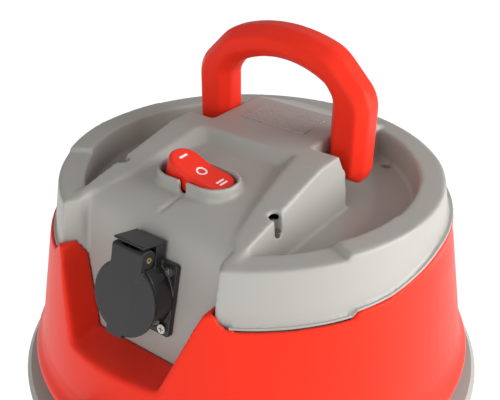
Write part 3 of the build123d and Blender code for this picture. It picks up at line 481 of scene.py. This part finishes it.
def skirt_shares(x, y, z):
    """How far each point of the skirt is softened."""
    share = np.full_like(x, 0.04)
    side = np.abs(x)
    r = np.hypot(x, y)
    # the notch in front of the socket, then the joint line and the rolled lip
    notch = smoothstep(78, 68, side) * smoothstep(-104, -112, y) * smoothstep(122, 130, r)
    share = np.maximum(share, 0.6 * notch * smoothstep(-90, -82, z))
    share *= 0.35 + 0.65 * smoothstep(2, 7, seam_height(y) - z)
    share = np.maximum(share, 0.3 * smoothstep(-92, -97, z) * smoothstep(-112, -109, z))
    return share


def parting_bead():
    """The pale bead that stands out of the cap over the skirt's top edge, open at the notch."""
    lower = ((BEAD_ROOT, -BEAD_HALF), (BEAD_EASE, -BEAD_HALF), (BEAD_TIP, -BEAD_FLAT))
    outline = (*lower, *((radius, -rise) for radius, rise in reversed(lower)))
    points = []
    for k in range(BEAD_STEPS + 1):
        bearing = BEAD_START + (2 * math.pi - 2 * BEAD_START) * k / BEAD_STEPS
        for radius, rise in outline:
            x, y = radius * math.sin(bearing), -radius * math.cos(bearing)
            points.append((x * MM, y * MM, SEAM + (float(seam_height(y)) + rise) * MM))
    n = len(outline)
    faces = []
    for k in range(BEAD_STEPS):
        for i in range(n):
            j = (i + 1) % n
            faces.append((k * n + i, k * n + n + i, k * n + n + j, k * n + j))
    faces.append(tuple(range(n)))
    faces.append(tuple(reversed(range(BEAD_STEPS * n, BEAD_STEPS * n + n))))
    mesh = bpy.data.meshes.new("parting_bead")
    mesh.from_pydata(points, [], faces)
    shaper = bmesh.new()
    shaper.from_mesh(mesh)
    bmesh.ops.recalc_face_normals(shaper, faces=shaper.faces)
    shaper.to_mesh(mesh)
    shaper.free()
    bead = new_piece("parting_bead", mesh)
    mesh.materials.append(bpy.data.materials["grey satin"])
    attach(bead, "head")


class SHOPVAC_OT_cap(bpy.types.Operator):
    """Builds the grey cap with its soft recess, rim and arms"""

    bl_idname = "shop_vac.cap"
    bl_label = "Cap"

    def execute(self, context):
        sizes = context.scene.shop_vac_moulding
        piece = softened("cap_moulding", "top_cap", sizes.cap_grid, sizes.cap_rounds, cap_shares)
        settle(piece, "top_cap", "head", bpy.data.materials["grey satin"])
        parting_bead()
        return {"FINISHED"}


class SHOPVAC_OT_skirt(bpy.types.Operator):
    """Builds the red skirt with its soft socket notch"""

    bl_idname = "shop_vac.skirt"
    bl_label = "Skirt"

    def execute(self, context):
        sizes = context.scene.shop_vac_moulding
        piece = softened("skirt_moulding", "skirt", sizes.skirt_grid, sizes.skirt_rounds, skirt_shares)
        settle(piece, "skirt", "head", bpy.data.materials["red satin"])
        return {"FINISHED"}


class SHOPVAC_OT_handle(bpy.types.Operator):
    """Builds the arched carry handle with eased facets"""

    bl_idname = "shop_vac.handle"
    bl_label = "Handle"

    def execute(self, context):
        sizes = context.scene.shop_vac_moulding
        piece = softened("handle_moulding", "handle", sizes.handle_grid, sizes.handle_rounds)
        settle(piece, "handle", "head", bpy.data.materials["red satin"])
        return {"FINISHED"}


class SHOPVAC_OT_rocker(bpy.types.Operator):
    """Builds the red rocker and gives its inlaid marks their white"""

    bl_idname = "shop_vac.rocker"
    bl_label = "Rocker"

    def execute(self, context):
        sizes = context.scene.shop_vac_moulding
        piece = softened("rocker_moulding", "rocker", sizes.small_grid, rounds=8)
        settle(piece, "rocker", "rocker", bpy.data.materials["red gloss"])
        dress(["rocker_marks"], bpy.data.materials["mark white"])
        return {"FINISHED"}


class SHOPVAC_OT_socket(bpy.types.Operator):
    """Finishes the black socket, its spring lid, brass pin and screws"""

    bl_idname = "shop_vac.socket"
    bl_label = "Socket"

    def execute(self, context):
        materials = bpy.data.materials
        sizes = context.scene.shop_vac_moulding
        lid = softened("lid_moulding", "socket_lid", sizes.small_grid, rounds=6)
        settle(lid, "socket_lid", "lid", materials["black satin"])
        base = softened("socket_moulding", "socket_body", sizes.small_grid, rounds=5)
        settle(base, "socket_body", "head", materials["black gloss"])
        dress(["lid_pin", "socket_contacts"], materials["brass"])
        dress(["socket_screws", "lid_spring"], materials["zinc"])
        return {"FINISHED"}


class SHOPVAC_OT_hardware(bpy.types.Operator):
    """Finishes the screws, latches, label, motor, filter and every other carried-over part"""

    bl_idname = "shop_vac.hardware"
    bl_label = "Hardware"

    def execute(self, context):
        look = {
            "zinc": ["handle_screws", "cap_screws", "base_screws", "inlet_screws", "caster_base_screws",
                     "latch_pins", "motor_shaft", "bearings"],
            "black satin": ["switch_body", "brush_holders", "exhaust_grille", "hose_inlet", "latch_front",
                            "latch_back"],
            "soft rubber": ["cord_gland", "motor_mounts", "head_gasket", "filter_ring", "carbon_brushes"],
            "dark moulding": ["diffuser", "base_plate", "float_cage", "cooling_fan", "caster_base",
                              "float_ball"],
            "drawn steel": ["fan_housing"],
            "core sheets": ["stator_core", "armature"],
            "copper": ["field_windings", "commutator"],
            "cast aluminium": ["bearing_bracket", "impeller"],
            "black foam": ["exhaust_foam"],
            "pleated fleece": ["filter_sleeve"],
            "green board": ["control_board"],
            "grey satin": ["tank"],
            "label film": ["rating_label"],
        }
        for name, nodes in look.items():
            dress(nodes, bpy.data.materials[name])
        return {"FINISHED"}


class SHOPVAC_OT_casters(bpy.types.Operator):
    """Finishes the four casters"""

    bl_idname = "shop_vac.casters"
    bl_label = "Casters"

    def execute(self, context):
        for corner in ("front_left", "front_right", "rear_left", "rear_right"):
            dress([f"caster_fork_{corner}"], bpy.data.materials["dark moulding"])
            dress([f"caster_axle_{corner}"], bpy.data.materials["zinc"])
            dress([f"caster_wheel_{corner}"], bpy.data.materials["wheel rubber"])
        return {"FINISHED"}


class SHOPVAC_OT_finishes(bpy.types.Operator):
    """Makes the shader groups and every material"""

    bl_idname = "shop_vac.finishes"
    bl_label = "Finishes"

    def execute(self, context):
        finish = context.scene.shop_vac_finish
        for build_group in (grain_group, wear_group, dust_group):
            build_group()
        red, grey, black = tuple(finish.red), tuple(finish.grey), tuple(finish.black)
        soft = {"wear": finish.wear, "dust": finish.dust, "grain": finish.grain}
        plastic("red satin", red, rough=0.42, specular=0.3, tint=(1.0, 0.4, 0.28), **soft)
        plastic("red gloss", red, rough=0.28, tint=(1.0, 0.7, 0.6), grain=finish.grain, bump=0.02,
                wear=finish.wear, dust=0.02)
        plastic("grey satin", grey, rough=0.44, **soft)
        plastic("black satin", black, rough=0.48, bump=0.12, **soft)
        plastic("black gloss", black, rough=0.3, bump=0.03, **soft)
        plastic("dark moulding", (0.03, 0.03, 0.032), rough=0.5, bump=0.1, **soft)
        plastic("soft rubber", (0.02, 0.02, 0.021), rough=0.7, bump=0.15, **soft)
        plastic("wheel rubber", (0.04, 0.04, 0.042), rough=0.6, bump=0.2, **soft)
        plastic("mark white", tuple(finish.white), rough=0.4, bump=0.02, wear=0.0, dust=0.0, blotch=0.02)
        plastic("green board", (0.02, 0.12, 0.05), rough=0.35, bump=0.05, wear=0.1, dust=0.1)
        label_film("label film", tuple(c * 1.05 for c in grey), tuple(c * 0.8 for c in grey))
        metal("zinc", (0.62, 0.61, 0.58), rough=0.3)
        metal("brass", (0.80, 0.55, 0.22), rough=0.24)
        metal("copper", (0.72, 0.34, 0.16), rough=0.3, streak=(0.2, 0.2, 6.0))
        metal("drawn steel", (0.56, 0.56, 0.57), rough=0.32, streak=(1.0, 1.0, 0.1))
        metal("core sheets", (0.3, 0.31, 0.33), rough=0.42, streak=(0.1, 0.1, 8.0))
        metal("cast aluminium", (0.7, 0.71, 0.72), rough=0.45)
        fleece("black foam", (0.03, 0.03, 0.03))
        fleece("pleated fleece", (0.72, 0.69, 0.6), size=0.0006, depth=0.3)
        return {"FINISHED"}


# ---- studio ----
def area_light(name, power, size, location, aim):
    """A square soft light placed in the scene and aimed at a point."""
    data = bpy.data.lights.new(name, "AREA")
    data.energy = power
    data.size = size
    lamp = bpy.data.objects.new(name, data)
    bpy.context.scene.collection.objects.link(lamp)
    lamp.location = location
    lamp.rotation_euler = (Vector(aim) - Vector(location)).to_track_quat("-Z", "Y").to_euler()


def pale_floor(half):
    """A square floor at the ground, half its side given, bright enough to read as white."""
    corners = [(-half, -half, 0), (half, -half, 0), (half, half, 0), (-half, half, 0)]
    mesh = bpy.data.meshes.new("floor")
    mesh.from_pydata(corners, [], [(0, 1, 2, 3)])
    paint, _, shader = blank("pale floor")
    shader.inputs["Base Color"].default_value = (0.1, 0.1, 0.1, 1)
    shader.inputs["Roughness"].default_value = 0.9
    shader.inputs["Emission Color"].default_value = STUDIO_WHITE
    shader.inputs["Emission Strength"].default_value = 1.0
    mesh.materials.append(paint)
    floor = new_piece("floor", mesh)


class SHOPVAC_OT_stage(bpy.types.Operator):
    """Sets the camera, two soft lights and a pale floor"""

    bl_idname = "shop_vac.stage"
    bl_label = "Stage"

    def execute(self, context):
        stage = context.scene.shop_vac_stage
        a, e = stage.azimuth, stage.elevation
        back = Vector((math.sin(a) * math.cos(e), -math.cos(a) * math.cos(e), math.sin(e)))
        right = Vector((math.cos(a), math.sin(a), 0))
        aim = Vector((0, 0, SEAM - 23.7 * MM)) - right * 6.2 * MM
        camera = bpy.data.objects.new("camera", bpy.data.cameras.new("camera"))
        context.scene.collection.objects.link(camera)
        camera.location = aim + back * stage.distance
        camera.rotation_euler = (-back).to_track_quat("-Z", "Y").to_euler()
        camera.data.lens = stage.lens
        camera.data.sensor_width = 36.0
        camera.data.shift_x, camera.data.shift_y = 0.0142, 0.0454
        camera.data.clip_start = 0.05
        context.scene.camera = camera
        flat_back = Vector((back.x, back.y, 0)).normalized()
        head, up = Vector((0, 0, SEAM)), Vector((0, 0, 1))
        key_place = head + right * 1.1 + flat_back * 0.35 + up * 0.35
        fill_place = head + flat_back * 1.5 - right * 0.7 + up * 0.5
        area_light("key", stage.key, 0.9, key_place, head)
        area_light("fill", stage.fill, 1.2, fill_place, head)
        world = bpy.data.worlds.new("studio")
        context.scene.world = world
        world.use_nodes = True
        sky = world.node_tree.nodes["Background"]
        sky.inputs["Color"].default_value = STUDIO_WHITE
        sky.inputs["Strength"].default_value = 0.35
        pale_floor(half=8.0)
        context.scene.view_settings.view_transform = "Standard"
        return {"FINISHED"}


class SHOPVAC_PT_panel(bpy.types.Panel):
    """Lists the pieces and their settings"""

    bl_idname = "SHOPVAC_PT_panel"
    bl_label = "Shop Vacuum"
    bl_space_type = "VIEW_3D"
    bl_region_type = "UI"
    bl_category = "Shop Vacuum"

    def draw(self, context):
        for step in STEPS:
            self.layout.operator(step.bl_idname)
        for settings in GROUPS:
            group = getattr(context.scene, settings)
            box = self.layout.box()
            for key in group.__annotations__:
                box.prop(group, key)


STEPS = (SHOPVAC_OT_stage, SHOPVAC_OT_finishes, SHOPVAC_OT_cap, SHOPVAC_OT_skirt, SHOPVAC_OT_handle,
         SHOPVAC_OT_rocker, SHOPVAC_OT_socket, SHOPVAC_OT_hardware, SHOPVAC_OT_casters)
GROUPS = {
    "shop_vac_moulding": ShopVacMoulding,
    "shop_vac_finish": ShopVacFinish,
    "shop_vac_stage": ShopVacStage,
}


def register():
    for group in GROUPS.values():
        bpy.utils.register_class(group)
    for step in (*STEPS, SHOPVAC_PT_panel):
        bpy.utils.register_class(step)
    for name, group in GROUPS.items():
        setattr(bpy.types.Scene, name, PointerProperty(type=group))


def unregister():
    for name in GROUPS:
        delattr(bpy.types.Scene, name)
    for step in reversed((*STEPS, SHOPVAC_PT_panel)):
        bpy.utils.unregister_class(step)
    for group in reversed(list(GROUPS.values())):
        bpy.utils.unregister_class(group)


def main():
    """Registers the add-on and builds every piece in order."""
    register()
    for step in STEPS:
        family, name = step.bl_idname.split(".")
        getattr(getattr(bpy.ops, family), name)()
    bpy.context.view_layer.update()


if __name__ == "__main__":
    main()
